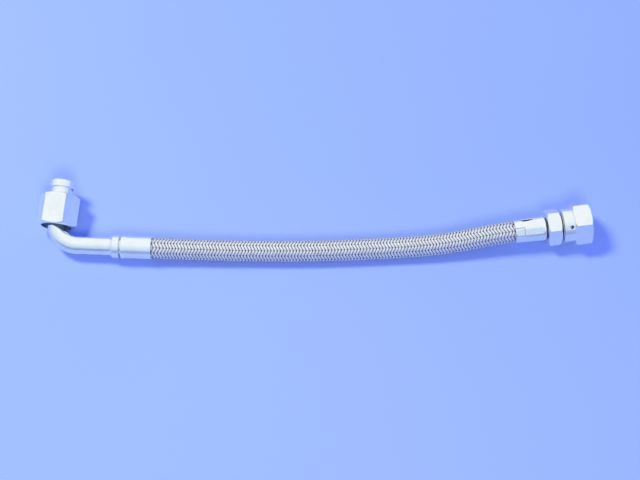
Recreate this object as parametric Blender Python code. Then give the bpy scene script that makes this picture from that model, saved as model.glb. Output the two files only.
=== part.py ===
"""Turbo oil feed line: a braided hose with a swivel elbow at one end and a straight swivel nut at the other.

Metres, +Z up. The line lies on a flat surface at z = 0, with its straight end towards +X.
Each fitting is laid out on its own axis, as a distance from its ferrule's mouth, away from the hose.
"""

import math

import bmesh
import bpy
from mathutils import Matrix, Vector

MM = 0.001
GAP = 0.3 * MM
WELD = 0.001 * MM
ROUND_SIDES = 32
TUBE_SIDES = 24
SMOOTH_BELOW = math.radians(32)

# Hose layers, as they are between the ferrules
HOSE_OD = 11.3 * MM
BRAID_WALL = 0.5 * MM
LINER_WALL = 0.7 * MM
HOSE_BEVEL_RESOLUTION = 4
HOSE_POINT_SPACING = 24 * MM
ROUTE_STEPS = 12
CRIMP_RELEASE = 1.4 * MM

# The hose's centre line from mouth to mouth, as it lies on the surface
ELBOW_MOUTH = Vector((-89.2, -8.5, 7.4)) * MM
STRAIGHT_MOUTH = Vector((102.9, -0.3, 10.32)) * MM
ROUTE = [
    Vector(point) * MM
    for point in (
        (-77.0, -8.75, 6.65),
        (-57.0, -9.2, 6.1),
        (-37.0, -9.5, 5.75),
        (-10.5, -9.55, 5.72),
        (16.0, -8.8, 5.72),
        (42.5, -7.5, 5.85),
        (60.0, -6.2, 6.4),
        (76.0, -4.2, 7.6),
        (90.0, -2.0, 9.3),
    )
]

# Directions in which the two fittings leave the hose
ELBOW_HEADING = math.radians(177.5)
STRAIGHT_HEADING = math.radians(7.6)

# Ferrules
ELBOW_FERRULE_OD = 12.0 * MM
ELBOW_FERRULE_LIP_OD = 12.5 * MM
ELBOW_FERRULE_LIP_LENGTH = 3.0 * MM
STRAIGHT_FERRULE_OD = 12.9 * MM
STRAIGHT_FERRULE_MOUTH_OD = 11.8 * MM
FERRULE_WALL = 0.6 * MM
FERRULE_LENGTH = 16.3 * MM
FERRULE_END_WALL = 1.6 * MM
FERRULE_CHAMFER = 0.35 * MM
CRIMP_FLATS = 8
CRIMP_DEPTH = 0.3 * MM
CRIMP_MARGIN = 1.6 * MM

# Barbed nipples inside the hose
NIPPLE_OD = 6.3 * MM
NIPPLE_BORE = 4.8 * MM
NIPPLE_INSET = 1.5 * MM
BARB_COUNT = 4
BARB_DEPTH = 0.35 * MM
# Shares of a barb's pitch: its crest starts, its crest ends, its back has dropped
BARB_SHARES = (0.6, 0.75, 0.85)
NECK_OD = 8.0 * MM

# Collar of the elbow's stem
COLLAR_OD = 12.0 * MM
COLLAR_LENGTH = 3.7 * MM
COLLAR_OFFSET = 0.8 * MM
COLLAR_CHAMFER = 0.4 * MM
SPIGOT_LENGTH = 5.0 * MM

# Bent tube
TUBE_OD = 9.525 * MM
TUBE_WALL = 1.2 * MM
TUBE_STRAIGHT = 18.6 * MM
BEND_RADIUS = 12.0 * MM
BEND_ANGLE = math.radians(93.4)
BEND_PITCH = math.radians(12.0)
BEND_STEPS = 14
OUTLET_STRAIGHT = 13.0 * MM
FILLET_OD = 10.9 * MM
FILLET_LENGTH = 2.0 * MM
# The fillet's knee, as a share of its length and of its rise
FILLET_KNEE = 0.35

# Seat nose on the tube's end
NOSE_OD = 12.5 * MM
NOSE_HEAD_LENGTH = 3.8 * MM
NOSE_NECK_OD = 11.2 * MM
NOSE_NECK_LENGTH = 9.4 * MM
NOSE_SOCKET_DEPTH = 4.5 * MM
NOSE_GROOVE_DEPTH = 0.35 * MM
NOSE_GROOVE_WIDTH = 0.5 * MM
SEAT_ANGLE = math.radians(37.0)
SEAT_RIM = 0.5 * MM
NOSE_CHAMFER = 0.4 * MM

# Nut on the elbow, as it is slid back against the bend
ELBOW_NUT_AF = 19.05 * MM
ELBOW_NUT_CHAMFER_CIRCLE = 18.6 * MM
ELBOW_NUT_TURN = math.radians(-3.2)
ELBOW_NUT_LENGTH = 17.0 * MM
ELBOW_NUT_BACK_WALL = 3.2 * MM
ELBOW_NUT_RECESS_OD = 15.8 * MM
ELBOW_NUT_RECESS_DEPTH = 1.6 * MM
ELBOW_NUT_ONTO_BEND = 3.0 * MM
THREAD_CLEARANCE = 0.35 * MM
THREAD_LEAD_IN = 0.7 * MM
HEX_CHAMFER_ANGLE = math.radians(30.0)

# Straight stem: neck, fixed hexagon and spigot
HEX_NECK_OD = 11.0 * MM
HEX_NECK_LENGTH = 0.8 * MM
FIXED_HEX_AF = 17.46 * MM
FIXED_HEX_CHAMFER_CIRCLE = 18.0 * MM
FIXED_HEX_TURN = math.radians(8.5)
FIXED_HEX_LENGTH = 7.3 * MM
JOURNAL_OD = 13.6 * MM
JOURNAL_LENGTH = 7.2 * MM
STRAIGHT_HEAD_OD = 14.8 * MM
STRAIGHT_HEAD_LENGTH = 3.2 * MM
WIRE_DIAMETER = 1.5 * MM
WIRE_FROM_HEX = 5.0 * MM
WIRE_TURN = math.radians(325.0)
WIRE_STEPS = 26
WIRE_SIDES = 8

# Straight nut: round collar and hexagon
STRAIGHT_NUT_AF = 20.64 * MM
STRAIGHT_NUT_CHAMFER_CIRCLE = 21.2 * MM
STRAIGHT_NUT_HEX_LENGTH = 9.3 * MM
STRAIGHT_NUT_COLLAR_OD = 18.3 * MM
STRAIGHT_NUT_COLLAR_LENGTH = 5.5 * MM
STRAIGHT_NUT_OFFSET = 1.2 * MM
STRAIGHT_THREAD_MINOR = 16.1 * MM
WIRE_HOLE_DIAMETER = 2.0 * MM
WIRE_HOLE_TILT = math.radians(33.0)
DRILL_OVERRUN = 2.0 * MM
DRILL_SIDES = 12

STEEL = ("plated_steel", (0.80, 0.83, 0.86, 1.0), 0.22, 1.0)
BRAID = ("stainless_braid", (0.55, 0.55, 0.53, 1.0), 0.35, 1.0)
WIRE = ("spring_wire", (0.62, 0.63, 0.64, 1.0), 0.3, 1.0)
POLYMER = ("white_polymer", (0.86, 0.86, 0.83, 1.0), 0.5, 0.0)


def clear_scene():
    for found in list(bpy.data.objects):
        bpy.data.objects.remove(found, do_unlink=True)


def material(spec):
    name, colour, roughness, metallic = spec
    made = bpy.data.materials.get(name) or bpy.data.materials.new(name)
    made.use_nodes = True
    shader = made.node_tree.nodes["Principled BSDF"]
    shader.inputs["Base Color"].default_value = colour
    shader.inputs["Roughness"].default_value = roughness
    shader.inputs["Metallic"].default_value = metallic
    made.diffuse_color = colour
    return made


def add_object(name, data, parent, spec):
    made = bpy.data.objects.new(name, data)
    bpy.context.scene.collection.objects.link(made)
    made.parent = parent
    if spec:
        data.materials.append(material(spec))
    return made


def add_frame(name, origin, axis, up, parent):
    """An empty whose Z runs along the axis and whose X is as near to up as it can be."""
    z = axis.normalized()
    x = (up - z * up.dot(z)).normalized()
    frame = bpy.data.objects.new(name, None)
    bpy.context.scene.collection.objects.link(frame)
    frame.parent = parent
    frame.matrix_local = Matrix.Translation(origin) @ Matrix((x, z.cross(x), z)).transposed().to_4x4()
    return frame


def as_mesh(name, bm):
    bmesh.ops.remove_doubles(bm, verts=bm.verts, dist=WELD)
    bmesh.ops.recalc_face_normals(bm, faces=bm.faces)
    data = bpy.data.meshes.new(name)
    bm.to_mesh(data)
    bm.free()
    data.shade_smooth()
    data.set_sharp_from_angle(angle=SMOOTH_BELOW)
    return data


def turned_bmesh(profile, sides=ROUND_SIDES):
    """A closed profile of (radius, height) pairs, turned about Z."""
    bm = bmesh.new()
    points = [bm.verts.new((radius, 0.0, height)) for radius, height in profile]
    edges = [bm.edges.new((a, b)) for a, b in zip(points, points[1:] + points[:1])]
    bmesh.ops.spin(
        bm,
        geom=points + edges,
        axis=(0, 0, 1),
        cent=(0, 0, 0),
        angle=2 * math.pi,
        steps=sides,
        use_merge=True,
    )
    return bm


def add_turned(name, profile, parent, spec, sides=ROUND_SIDES):
    return add_object(name, as_mesh(name, turned_bmesh(profile, sides)), parent, spec)


def hex_prism(name, across_flats, low, high, parent):
    """A hidden hexagonal prism with two flats square to its frame's X."""
    bm = bmesh.new()
    bmesh.ops.create_cone(
        bm,
        cap_ends=True,
        segments=6,
        radius1=across_flats / math.sqrt(3),
        radius2=across_flats / math.sqrt(3),
        depth=high - low,
        matrix=Matrix.Translation((0, 0, (low + high) / 2)),
    )
    return hide(add_object(name, as_mesh(name, bm), parent, None))


def hide(cutter):
    cutter.hide_render = True
    cutter.display_type = "WIRE"
    return cutter


def boolean(target, operation, other):
    cut = target.modifiers.new(other.name, "BOOLEAN")
    cut.operation = operation
    cut.solver = "EXACT"
    cut.object = other


def hex_corner(across_flats):
    return across_flats / math.sqrt(3)


def hex_outline(across_flats, chamfer_circle, low, high):
    """The turned outline of a hexagon chamfered at both ends, from low to high."""
    face = chamfer_circle / 2
    corner = hex_corner(across_flats) + GAP
    depth = (corner - face) * math.tan(HEX_CHAMFER_ANGLE)
    return [(face, low), (corner, low + depth), (corner, high - depth), (face, high)]


def crimp_radii(ferrule_od):
    """Outer radii that a ferrule leaves to the braid and to the liner inside it."""
    braid = ferrule_od / 2 - FERRULE_WALL - GAP
    return braid, braid - BRAID_WALL - GAP


def ferrule_bore(ferrule_od):
    return ferrule_od / 2 - FERRULE_WALL


def nipple_profile():
    """Barbs from the nipple's tip to the ferrule's end wall, as (radius, height) pairs."""
    start, end = NIPPLE_INSET, FERRULE_LENGTH - FERRULE_END_WALL
    pitch = (end - start) / BARB_COUNT
    outer = NIPPLE_OD / 2
    crest_start, crest_end, dropped = BARB_SHARES
    points = [(outer - BARB_DEPTH, start)]
    for barb in range(BARB_COUNT):
        low = start + barb * pitch
        points.append((outer, low + crest_start * pitch))
        points.append((outer, low + crest_end * pitch))
        if barb < BARB_COUNT - 1:
            points.append((outer - BARB_DEPTH, low + dropped * pitch))
    points.append((outer, end))
    return points


def add_ferrule(name, ferrule_od, lip_od, lip_length, parent):
    """A crimped sleeve. Its end wall closes on the stem's neck, and its bore on the braid."""
    outer, lip = ferrule_od / 2, lip_od / 2
    bore, hole = ferrule_bore(ferrule_od), NECK_OD / 2 + GAP
    length, inner_end = FERRULE_LENGTH, FERRULE_LENGTH - FERRULE_END_WALL
    profile = [
        (bore, 0),
        (outer - FERRULE_CHAMFER, 0),
        (outer, FERRULE_CHAMFER),
        (outer, length - lip_length),
        (lip, length - lip_length * 0.8),
        (lip, length - 2 * FERRULE_CHAMFER),
        (lip - 2 * FERRULE_CHAMFER, length),
        (hole, length),
        (hole, inner_end),
        (bore, inner_end),
    ]
    return add_turned(name, profile, parent, STEEL)


def add_crimped_ferrule(name, ferrule_od, mouth_od, parent):
    """A sleeve pressed to flats all round, narrower towards its mouth, with plain ends."""
    outer, mouth = ferrule_od / 2, mouth_od / 2
    bore, hole = ferrule_bore(mouth_od), NECK_OD / 2 + GAP
    length, inner_end = FERRULE_LENGTH, FERRULE_LENGTH - FERRULE_END_WALL
    flat_low, flat_high = CRIMP_MARGIN, length - CRIMP_MARGIN
    heights = (FERRULE_CHAMFER, flat_low - FERRULE_CHAMFER, flat_low, flat_high, flat_high + FERRULE_CHAMFER)
    profile = [(bore, 0), (mouth - FERRULE_CHAMFER, 0)]
    profile += [(mouth + (outer - mouth) * height / length, height) for height in heights]
    profile += [
        (outer, length - FERRULE_CHAMFER),
        (outer - FERRULE_CHAMFER, length),
        (hole, length),
        (hole, inner_end),
        (bore, inner_end),
    ]
    bm = turned_bmesh(profile)
    for vert in bm.verts:
        if flat_low - GAP / 2 < vert.co.z < flat_high + GAP / 2:
            press_to_flat(vert, mouth + (outer - mouth) * vert.co.z / length)
    return add_object(name, as_mesh(name, bm), parent, STEEL)


def press_to_flat(vert, outer):
    """Moves an outer point in to the nearest of the crimp's flats."""
    if math.hypot(vert.co.x, vert.co.y) < outer - GAP / 2:
        return
    turn = 2 * math.pi / CRIMP_FLATS
    angle = math.atan2(vert.co.y, vert.co.x)
    off = angle - round(angle / turn) * turn
    pressed = min(outer, (outer - CRIMP_DEPTH) / math.cos(off))
    vert.co.x, vert.co.y = pressed * math.cos(angle), pressed * math.sin(angle)


def add_elbow_stem(parent):
    """Nipple, collar and the spigot that the bent tube slips over."""
    collar_low = FERRULE_LENGTH + COLLAR_OFFSET
    collar_high = collar_low + COLLAR_LENGTH
    neck, collar, bore = NECK_OD / 2, COLLAR_OD / 2, NIPPLE_BORE / 2
    spigot = TUBE_OD / 2 - TUBE_WALL - GAP
    neck_low = FERRULE_LENGTH - FERRULE_END_WALL
    profile = [(bore, NIPPLE_INSET)]
    profile += nipple_profile()
    profile += [
        (neck, neck_low),
        (neck, collar_low),
        (collar - COLLAR_CHAMFER, collar_low),
        (collar, collar_low + COLLAR_CHAMFER),
        (collar, collar_high - COLLAR_CHAMFER),
        (collar - COLLAR_CHAMFER, collar_high),
        (spigot, collar_high),
        (spigot, collar_high + SPIGOT_LENGTH),
        (bore, collar_high + SPIGOT_LENGTH),
    ]
    add_turned("elbow_stem", profile, parent, STEEL)
    return collar_high


def tube_stations(start):
    """Centre, direction and outer radius along the tube, in the elbow's frame. It bends towards its Y."""
    radius, fillet = TUBE_OD / 2, FILLET_OD / 2
    stations = [
        (Vector((0, 0, start)), 0.0, fillet),
        (Vector((0, 0, start + FILLET_KNEE * FILLET_LENGTH)), 0.0, radius + FILLET_KNEE * (fillet - radius)),
        (Vector((0, 0, start + FILLET_LENGTH)), 0.0, radius),
    ]
    bend_start = start + TUBE_STRAIGHT
    for step in range(BEND_STEPS + 1):
        angle = BEND_ANGLE * step / BEND_STEPS
        centre = Vector(
            (0, BEND_RADIUS * (1 - math.cos(angle)), bend_start + BEND_RADIUS * math.sin(angle))
        )
        stations.append((centre, angle, radius))
    outlet = Vector((0, math.sin(BEND_ANGLE), math.cos(BEND_ANGLE)))
    end = stations[-1][0] + outlet * OUTLET_STRAIGHT
    stations.append((end, BEND_ANGLE, radius))
    return stations, outlet


def add_elbow_tube(start, parent):
    stations, outlet = tube_stations(start)
    bm = bmesh.new()
    rings = []
    for centre, angle, outer in stations:
        across = Vector((0, math.cos(angle), -math.sin(angle)))
        pair = []
        for radius in (outer, TUBE_OD / 2 - TUBE_WALL):
            ring = []
            for side in range(TUBE_SIDES):
                turn = 2 * math.pi * side / TUBE_SIDES
                offset = Vector((1, 0, 0)) * math.cos(turn) + across * math.sin(turn)
                ring.append(bm.verts.new(centre + offset * radius))
            pair.append(ring)
        rings.append(pair)
    for (outer_a, inner_a), (outer_b, inner_b) in zip(rings, rings[1:]):
        bridge(bm, outer_a, outer_b)
        bridge(bm, inner_b, inner_a)
    bridge(bm, rings[0][1], rings[0][0])
    bridge(bm, rings[-1][0], rings[-1][1])
    add_object("elbow_tube", as_mesh("elbow_tube", bm), parent, STEEL)
    return stations[-1][0] - outlet * OUTLET_STRAIGHT, outlet


def bridge(bm, first, second):
    for side, vert in enumerate(first):
        after = (side + 1) % len(first)
        bm.faces.new((vert, first[after], second[after], second[side]))


def nose_layout():
    """Heights of the nose's back, shoulder and front, from the end of the bend."""
    back = OUTLET_STRAIGHT - NOSE_SOCKET_DEPTH + GAP
    shoulder = back + NOSE_NECK_LENGTH
    return back, shoulder, shoulder + NOSE_HEAD_LENGTH


def add_seat_nose(parent):
    """A sleeve over the tube's end, with a head that the nut pulls on and a flared seat in its end."""
    back, shoulder, front = nose_layout()
    socket, bore = TUBE_OD / 2 + GAP, TUBE_OD / 2 - TUBE_WALL
    neck, head = NOSE_NECK_OD / 2, NOSE_OD / 2
    seat = head - NOSE_CHAMFER - SEAT_RIM
    seat_depth = (seat - bore) / math.tan(SEAT_ANGLE)
    groove = neck - NOSE_GROOVE_DEPTH
    profile = [
        (socket, back),
        (neck, back),
        (neck, shoulder - NOSE_GROOVE_WIDTH),
        (groove, shoulder - NOSE_GROOVE_WIDTH),
        (groove, shoulder),
        (head, shoulder),
        (head, front - NOSE_CHAMFER),
        (head - NOSE_CHAMFER, front),
        (seat, front),
        (bore, front - seat_depth),
        (bore, OUTLET_STRAIGHT + GAP),
        (socket, OUTLET_STRAIGHT + GAP),
    ]
    add_turned("seat_nose", profile, parent, STEEL)


def add_elbow_nut(parent):
    """The nut on its own frame, which is its spin axis, with its back face at the frame's origin."""
    hole, thread = NOSE_NECK_OD / 2 + GAP, NOSE_OD / 2 + THREAD_CLEARANCE
    length = ELBOW_NUT_LENGTH
    profile = hex_outline(ELBOW_NUT_AF, ELBOW_NUT_CHAMFER_CIRCLE, 0, length)
    profile += [
        (thread + THREAD_LEAD_IN, length),
        (thread, length - THREAD_LEAD_IN),
        (thread, ELBOW_NUT_BACK_WALL),
        (hole, ELBOW_NUT_BACK_WALL),
        (hole, ELBOW_NUT_RECESS_DEPTH),
        (ELBOW_NUT_RECESS_OD / 2, ELBOW_NUT_RECESS_DEPTH),
        (ELBOW_NUT_RECESS_OD / 2, 0),
    ]
    nut = add_turned("elbow_swivel_nut", profile, parent, STEEL)
    prism = hex_prism("elbow_nut_hexagon", ELBOW_NUT_AF, -GAP, length + GAP, parent)
    prism.rotation_euler.z = ELBOW_NUT_TURN
    boolean(nut, "INTERSECT", prism)


def straight_layout():
    """Heights along the straight fitting: hexagon, journal, head, nut and wire."""
    hex_low = FERRULE_LENGTH + HEX_NECK_LENGTH
    hex_high = hex_low + FIXED_HEX_LENGTH
    head_low = hex_high + JOURNAL_LENGTH
    nut_low = hex_high + STRAIGHT_NUT_OFFSET
    hex_nut_low = nut_low + STRAIGHT_NUT_COLLAR_LENGTH
    return {
        "hex_low": hex_low,
        "hex_high": hex_high,
        "head_low": head_low,
        "head_high": head_low + STRAIGHT_HEAD_LENGTH,
        "wire": hex_high + WIRE_FROM_HEX,
        "nut_low": nut_low,
        "nut_hex_low": hex_nut_low,
        "nut_high": hex_nut_low + STRAIGHT_NUT_HEX_LENGTH,
    }


def add_straight_stem(parent):
    """Nipple, neck, fixed hexagon, journal with half of the wire's groove, and seat head."""
    at = straight_layout()
    neck, hex_neck, bore = NECK_OD / 2, HEX_NECK_OD / 2, NIPPLE_BORE / 2
    journal, head = JOURNAL_OD / 2, STRAIGHT_HEAD_OD / 2
    half_groove = WIRE_DIAMETER / 2 + GAP
    seat_bore = TUBE_OD / 2 - TUBE_WALL
    seat = head - NOSE_CHAMFER - SEAT_RIM
    seat_depth = (seat - seat_bore) / math.tan(SEAT_ANGLE)
    profile = [(bore, NIPPLE_INSET)]
    profile += nipple_profile()
    profile += [
        (neck, FERRULE_LENGTH - FERRULE_END_WALL),
        (neck, FERRULE_LENGTH + GAP),
        (hex_neck, FERRULE_LENGTH + GAP),
        (hex_neck, at["hex_low"]),
    ]
    profile += hex_outline(FIXED_HEX_AF, FIXED_HEX_CHAMFER_CIRCLE, at["hex_low"], at["hex_high"])
    profile += [
        (journal, at["hex_high"]),
        (journal, at["wire"] - half_groove),
        (journal - half_groove, at["wire"] - half_groove),
        (journal - half_groove, at["wire"] + half_groove),
        (journal, at["wire"] + half_groove),
        (journal, at["head_low"]),
        (head, at["head_low"]),
        (head, at["head_high"] - NOSE_CHAMFER),
        (head - NOSE_CHAMFER, at["head_high"]),
        (seat, at["head_high"]),
        (seat_bore, at["head_high"] - seat_depth),
        (bore, at["head_high"] - seat_depth - (seat_bore - bore)),
    ]
    stem = add_turned("straight_stem", profile, parent, STEEL)
    prism = hex_prism("fixed_hexagon", FIXED_HEX_AF, 0, at["head_high"] + GAP, parent)
    prism.rotation_euler.z = FIXED_HEX_TURN
    boolean(stem, "INTERSECT", prism)


def add_straight_nut(parent):
    """Collar and hexagon, with the other half of the wire's groove and the hole the wire goes in by."""
    at = straight_layout()
    collar, half_groove = STRAIGHT_NUT_COLLAR_OD / 2, WIRE_DIAMETER / 2 + GAP
    hole = JOURNAL_OD / 2 + GAP
    thread = STRAIGHT_THREAD_MINOR / 2
    head_low = at["head_low"] - GAP
    profile = [
        (hole, at["nut_low"]),
        (collar - COLLAR_CHAMFER, at["nut_low"]),
        (collar, at["nut_low"] + COLLAR_CHAMFER),
        (collar, at["nut_hex_low"]),
    ]
    profile += hex_outline(
        STRAIGHT_NUT_AF, STRAIGHT_NUT_CHAMFER_CIRCLE, at["nut_hex_low"], at["nut_high"]
    )
    profile += [
        (thread + THREAD_LEAD_IN, at["nut_high"]),
        (thread, at["nut_high"] - THREAD_LEAD_IN),
        (thread, head_low),
        (hole, head_low),
        (hole, at["wire"] + half_groove),
        (hole + half_groove - GAP, at["wire"] + half_groove),
        (hole + half_groove - GAP, at["wire"] - half_groove),
        (hole, at["wire"] - half_groove),
    ]
    nut = add_turned("straight_swivel_nut", profile, parent, STEEL)
    prism = hex_prism("straight_nut_hexagon", STRAIGHT_NUT_AF, 0, at["nut_high"] + GAP, parent)
    boolean(nut, "INTERSECT", prism)
    boolean(nut, "DIFFERENCE", wire_hole(at["wire"], hole, collar, parent))


def wire_hole(height, inner, outer, parent):
    """A hidden radial drill from inside the groove to outside the collar."""
    bm = bmesh.new()
    low, high = inner, outer + DRILL_OVERRUN
    bmesh.ops.create_cone(
        bm,
        cap_ends=True,
        segments=DRILL_SIDES,
        radius1=WIRE_HOLE_DIAMETER / 2,
        radius2=WIRE_HOLE_DIAMETER / 2,
        depth=high - low,
    )
    drill = hide(add_object("wire_hole", as_mesh("wire_hole", bm), parent, None))
    out = Vector((math.cos(WIRE_HOLE_TILT), math.sin(WIRE_HOLE_TILT), 0))
    drill.location = out * (low + high) / 2 + Vector((0, 0, height))
    drill.rotation_euler = out.to_track_quat("Z", "Y").to_euler()
    return drill


def add_thrust_wire(parent):
    """An open ring of round wire, half in the stem and half in the nut."""
    height = straight_layout()["wire"]
    ring_radius = (JOURNAL_OD + GAP) / 2
    bm = bmesh.new()
    rings = []
    for step in range(WIRE_STEPS + 1):
        turn = WIRE_TURN * step / WIRE_STEPS
        out = Vector((math.cos(turn), math.sin(turn), 0))
        ring = []
        for side in range(WIRE_SIDES):
            angle = 2 * math.pi * side / WIRE_SIDES
            offset = out * math.cos(angle) + Vector((0, 0, 1)) * math.sin(angle)
            ring.append(bm.verts.new(out * ring_radius + Vector((0, 0, height)) + offset * WIRE_DIAMETER / 2))
        rings.append(ring)
    for first, second in zip(rings, rings[1:]):
        bridge(bm, first, second)
    bm.faces.new(rings[0])
    bm.faces.new(rings[-1])
    add_object("thrust_wire", as_mesh("thrust_wire", bm), parent, WIRE)


def smooth_point(before, start, end, after, share):
    """A point on the smooth curve that runs through start and end."""
    square, cube = share * share, share * share * share
    return 0.5 * (
        2 * start
        + (end - before) * share
        + (2 * before - 5 * start + 4 * end - after) * square
        + (3 * start - before - 3 * end + after) * cube
    )


def hose_line(elbow_out, straight_out):
    """Points of the free hose, evenly spaced on a smooth curve through the route."""
    spread = HOSE_POINT_SPACING
    ends = [ELBOW_MOUTH + elbow_out * spread, ELBOW_MOUTH]
    through = ends + ROUTE + [STRAIGHT_MOUTH, STRAIGHT_MOUTH + straight_out * spread]
    fine = []
    for before, start, end, after in zip(through, through[1:], through[2:], through[3:]):
        fine += [smooth_point(before, start, end, after, share / ROUTE_STEPS) for share in range(ROUTE_STEPS)]
    fine.append(STRAIGHT_MOUTH)
    return fine


def evenly(points, spacing):
    """The points of a fine line that lie about one spacing apart, its two ends among them."""
    lengths = [0.0]
    for first, second in zip(points, points[1:]):
        lengths.append(lengths[-1] + (second - first).length)
    count = round(lengths[-1] / spacing)
    picked = []
    for step in range(1, count):
        target = lengths[-1] * step / count
        picked.append(points[min(range(len(points)), key=lambda i: abs(lengths[i] - target))])
    return picked


def add_hose_layer(name, free_radius, elbow_radius, straight_radius, wall, outs, parent, spec):
    """A closed tube along the hose, narrower inside the two ferrules."""
    elbow_out, straight_out = outs
    inside = FERRULE_LENGTH - FERRULE_END_WALL - GAP
    line = hose_line(elbow_out, straight_out)
    stations = [
        (ELBOW_MOUTH + elbow_out * inside, elbow_radius),
        (ELBOW_MOUTH - elbow_out * GAP, elbow_radius),
        (ELBOW_MOUTH - elbow_out * CRIMP_RELEASE, free_radius),
    ]
    stations += [(point, free_radius) for point in evenly(line, HOSE_POINT_SPACING)]
    stations += [
        (STRAIGHT_MOUTH - straight_out * CRIMP_RELEASE, free_radius),
        (STRAIGHT_MOUTH - straight_out * GAP, straight_radius),
        (STRAIGHT_MOUTH + straight_out * inside, straight_radius),
    ]
    curve = bpy.data.curves.new(name, "CURVE")
    curve.dimensions = "3D"
    curve.bevel_depth = free_radius
    curve.bevel_resolution = HOSE_BEVEL_RESOLUTION
    spline = curve.splines.new("POLY")
    spline.points.add(len(stations) - 1)
    for point, (place, radius) in zip(spline.points, stations):
        point.co = (*place, 1.0)
        point.radius = radius / free_radius
    layer = add_object(name, curve, parent, spec)
    hollow = layer.modifiers.new("wall", "SOLIDIFY")
    hollow.thickness = wall
    hollow.offset = -1
    return layer


def add_hose(outs, parent):
    braid_free = HOSE_OD / 2
    liner_free = braid_free - BRAID_WALL - GAP
    elbow_braid, elbow_liner = crimp_radii(ELBOW_FERRULE_OD)
    straight_braid, straight_liner = crimp_radii(STRAIGHT_FERRULE_MOUTH_OD)
    add_hose_layer("wire_braid", braid_free, elbow_braid, straight_braid, BRAID_WALL, outs, parent, BRAID)
    add_hose_layer("hose_liner", liner_free, elbow_liner, straight_liner, LINER_WALL, outs, parent, POLYMER)


def heading(angle):
    return Vector((math.cos(angle), math.sin(angle), 0))


def add_elbow_end(assembly, out):
    """The elbow's fitting. Its tube bends towards the frame's Y, which BEND_PITCH lifts off the surface."""
    side = Vector((0, 0, 1)).cross(out) * -1
    lift = side * math.cos(BEND_PITCH) + Vector((0, 0, 1)) * math.sin(BEND_PITCH)
    frame = add_frame("elbow_end", ELBOW_MOUTH, out, lift.cross(out), assembly)
    add_ferrule("elbow_ferrule", ELBOW_FERRULE_OD, ELBOW_FERRULE_LIP_OD, ELBOW_FERRULE_LIP_LENGTH, frame)
    collar_high = add_elbow_stem(frame)
    bend_end, outlet = add_elbow_tube(collar_high + GAP, frame)
    outlet_frame = add_frame("elbow_outlet", bend_end, outlet, Vector((1, 0, 0)), frame)
    add_seat_nose(outlet_frame)
    nut_frame = add_frame(
        "elbow_nut_axis",
        Vector((0, 0, -ELBOW_NUT_ONTO_BEND)),
        Vector((0, 0, 1)),
        Vector((1, 0, 0)),
        outlet_frame,
    )
    add_elbow_nut(nut_frame)


def add_straight_end(assembly, out):
    frame = add_frame("straight_end", STRAIGHT_MOUTH, out, Vector((0, 0, 1)), assembly)
    add_crimped_ferrule("straight_ferrule", STRAIGHT_FERRULE_OD, STRAIGHT_FERRULE_MOUTH_OD, frame)
    add_straight_stem(frame)
    add_straight_nut(frame)
    add_thrust_wire(frame)


def stand_on_origin(assembly, rigid):
    """Moves the line so that the box around its fittings stands on the origin, middle on middle."""
    bpy.context.view_layer.update()
    graph = bpy.context.evaluated_depsgraph_get()
    corners = []
    for piece in rigid:
        evaluated = piece.evaluated_get(graph)
        corners += [evaluated.matrix_world @ vert.co for vert in evaluated.to_mesh().vertices]
        evaluated.to_mesh_clear()
    lows, highs = [[pick(c[i] for c in corners) for i in range(3)] for pick in (min, max)]
    assembly.location -= Vector(((lows[0] + highs[0]) / 2, (lows[1] + highs[1]) / 2, lows[2]))


def main():
    clear_scene()
    assembly = add_frame("oil_feed_line", Vector(), Vector((0, 0, 1)), Vector((1, 0, 0)), None)
    outs = heading(ELBOW_HEADING), heading(STRAIGHT_HEADING)
    add_hose(outs, assembly)
    add_elbow_end(assembly, outs[0])
    add_straight_end(assembly, outs[1])
    rigid = [found for found in bpy.data.objects if found.type == "MESH" and not found.hide_render]
    stand_on_origin(assembly, rigid)


main()
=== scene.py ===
"""Looks of the turbo oil feed line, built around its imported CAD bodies. Metres, +Z up.

Each fitting is laid out on its own axis, as a distance from its ferrule's mouth, away from the hose.
"""

import math

import bmesh
import bpy
import numpy as np
from mathutils import Matrix, Vector


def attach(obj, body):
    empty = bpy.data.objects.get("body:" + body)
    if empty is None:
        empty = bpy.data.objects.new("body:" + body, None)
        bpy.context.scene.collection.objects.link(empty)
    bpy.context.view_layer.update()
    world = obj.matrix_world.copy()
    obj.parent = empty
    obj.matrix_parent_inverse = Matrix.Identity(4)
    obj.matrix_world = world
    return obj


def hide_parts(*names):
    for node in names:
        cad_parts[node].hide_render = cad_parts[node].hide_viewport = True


MM = 0.001
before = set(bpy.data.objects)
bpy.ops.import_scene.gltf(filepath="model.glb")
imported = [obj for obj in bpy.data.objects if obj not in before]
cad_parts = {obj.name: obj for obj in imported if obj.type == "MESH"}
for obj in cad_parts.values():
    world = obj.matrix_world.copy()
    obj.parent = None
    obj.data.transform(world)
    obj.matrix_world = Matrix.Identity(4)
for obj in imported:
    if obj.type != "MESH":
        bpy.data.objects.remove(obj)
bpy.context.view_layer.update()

UP = Vector((0, 0, 1))
# Where the middle of the fittings' box is, in the layout that the route below is given in
SHIFT = Vector((3.5308, -7.2258, 0.0)) * MM
ELBOW_MOUTH = Vector((-89.2, -8.5, 7.4)) * MM + SHIFT
STRAIGHT_MOUTH = Vector((102.9, -0.3, 10.32)) * MM + SHIFT
ROUTE = [
    Vector(point) * MM + SHIFT
    for point in (
        (-77.0, -8.75, 6.65),
        (-57.0, -9.2, 6.1),
        (-37.0, -9.5, 5.75),
        (-10.5, -9.55, 5.72),
        (16.0, -8.8, 5.72),
        (42.5, -7.5, 5.85),
        (60.0, -6.2, 6.4),
        (76.0, -4.2, 7.6),
        (90.0, -2.0, 9.3),
    )
]
ELBOW_HEADING = math.radians(177.5)
STRAIGHT_HEADING = math.radians(7.6)

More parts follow.
